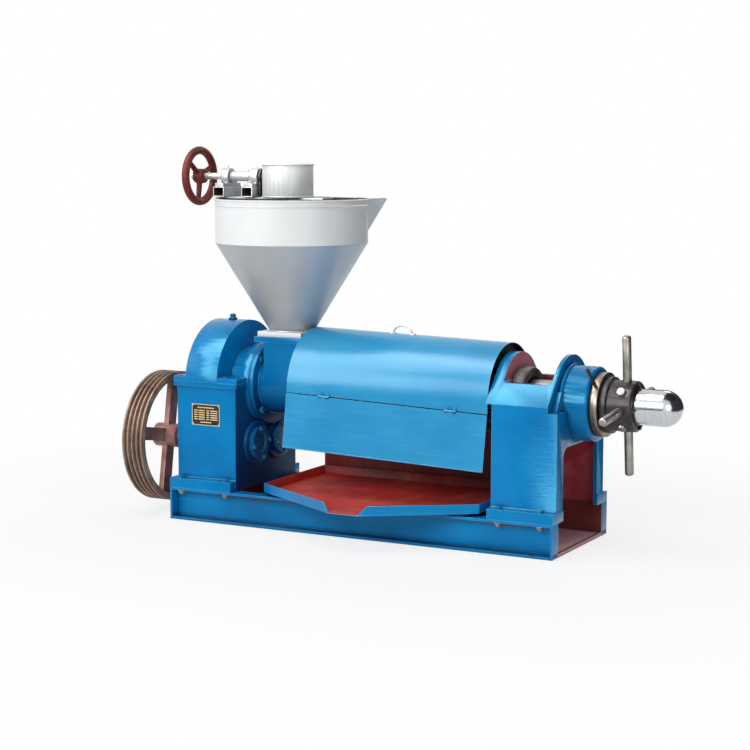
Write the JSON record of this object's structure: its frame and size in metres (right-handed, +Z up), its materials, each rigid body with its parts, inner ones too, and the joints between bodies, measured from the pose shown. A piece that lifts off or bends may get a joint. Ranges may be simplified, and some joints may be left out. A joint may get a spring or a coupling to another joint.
{
  "type": "screw oil press",
  "caption": "Belt-driven screw oil press: geared screw in a barred cage under a half-round hood, funnel hopper with hand feeder, oil tray and hand-adjusted discharge end on a channel base.",
  "frame": {"origin": "centre of the base frame on the floor plane", "axes": "+X along the screw from the belt pulley to the adjusting hub, operator on the -Y side, +Z up"},
  "size_m": [2.0931, 0.7529, 1.391],
  "materials": {
    "blue": "glossy enamel with brush marks",
    "maroon": "red oxide primer",
    "silver": "aluminium paint",
    "rust": "brown grey primed casting",
    "wheel_red": "red brown enamel",
    "steel": "machined steel",
    "worn_steel": "worn bare steel",
    "dark_iron": "dark brown casting",
    "chrome": "polished",
    "gear_steel": "oiled gear steel",
    "plate": "black and brass coloured plate"
  },
  "bodies": {
    "machine_frame": {"base_channel_front": "blue", "base_channel_rear": "blue", "base_bottom_plate": "maroon", "base_cross_members": "maroon", "gearbox_lower_case": "blue", "gearbox_upper_case": "blue", "gearbox_split_bolts": "steel", "breather_plug": "blue", "nameplate": "plate", "input_cap_left": "blue", "input_cap_right": "blue", "middle_cap_left": "blue", "middle_cap_right": "blue", "main_cap_left": "blue", "cover_bolts": "blue", "shaft_bearings": "steel", "main_bearings": "steel", "feed_body": "blue", "hopper": "silver", "hopper_crossbar": "silver", "bearing_stand": "silver", "pillow_blocks": "silver", "feeder_drum": "silver", "cage_lower": "dark_iron", "cage_upper": "dark_iron", "cage_bars": "gear_steel", "cage_clamp_bolts": "steel", "discharge_collar": "rust", "hood_top": "blue", "hood_saddles": "maroon", "hood_handle": "steel", "hood_hinges": "blue", "rear_guard": "maroon", "discharge_stand": "blue", "foot_bolts": "steel", "bearing_housing": "blue"},
    "main_screw": {"main_gear": "gear_steel", "screw_shaft": "steel", "feed_worm": "gear_steel", "press_worms": "gear_steel", "discharge_cone": "gear_steel"},
    "middle_line": {"middle_shaft": "gear_steel", "middle_gear": "gear_steel"},
    "input_line": {"input_shaft": "steel", "input_pinion": "gear_steel", "drive_pulley": "rust"},
    "hand_drive": {"handwheel": "wheel_red", "handwheel_shaft": "steel", "bevel_pinion": "gear_steel"},
    "auger": {"bevel_gear": "gear_steel", "feed_auger": "steel"},
    "front_flap": {"hood_front_flap": "blue"},
    "tray": {"oil_tray": "maroon"},
    "thrust": {"thrust_carrier": "steel"},
    "adjuster": {"adjusting_hub": "dark_iron", "adjusting_bars": "worn_steel", "hub_plugs": "worn_steel", "nose_cap": "chrome"},
    "lock": {"lock_ring": "steel", "lock_lever": "dark_iron"}
  },
  "joints": [
    {"name": "thrust_slide", "type": "slide", "parent": "machine_frame", "child": "thrust", "axis": [1, 0, 0], "range_m": [-0.0031, 0.0031]},
    {"name": "hub_turn", "type": "hinge", "parent": "thrust", "child": "adjuster", "pos_m": [0.943, 0, 0.508], "axis": [1, 0, 0], "range_deg": [-180, 180]},
    {"name": "screw_turn", "type": "hinge", "parent": "thrust", "child": "main_screw", "pos_m": [0, 0, 0.508], "axis": [1, 0, 0], "continuous": true},
    {"name": "middle_turn", "type": "hinge", "parent": "machine_frame", "child": "middle_line", "pos_m": [-0.6, 0.083, 0.286], "axis": [1, 0, 0], "continuous": true},
    {"name": "pulley_turn", "type": "hinge", "parent": "machine_frame", "child": "input_line", "pos_m": [-0.894, -0.082, 0.286], "axis": [1, 0, 0], "continuous": true},
    {"name": "auger_turn", "type": "hinge", "parent": "machine_frame", "child": "auger", "pos_m": [-0.388, 0, 1], "axis": [0, 0, 1], "continuous": true},
    {"name": "handwheel_turn", "type": "hinge", "parent": "machine_frame", "child": "hand_drive", "pos_m": [-0.793, 0, 1.279], "axis": [1, 0, 0], "continuous": true},
    {"name": "flap_swing", "type": "hinge", "parent": "machine_frame", "child": "front_flap", "pos_m": [-0.286, -0.222, 0.504], "axis": [-0.9989, -0.0253, 0.0405], "range_deg": [0, 110]},
    {"name": "tray_slide", "type": "slide", "parent": "machine_frame", "child": "tray", "axis": [0, -1, 0], "range_m": [0, 0.3]},
    {"name": "lock_turn", "type": "hinge", "parent": "machine_frame", "child": "lock", "pos_m": [0.857, 0, 0.508], "axis": [1, 0, 0], "range_deg": [-30, 30]}
  ],
  "couplings": [
    {"joint": "thrust_slide", "follows": "hub_turn", "m_per_rad": 0.00095493},
    {"joint": "middle_turn", "follows": "screw_turn", "ratio": -5.5833},
    {"joint": "pulley_turn", "follows": "screw_turn", "ratio": 9.7708},
    {"joint": "handwheel_turn", "follows": "auger_turn", "ratio": -1}
  ]
}
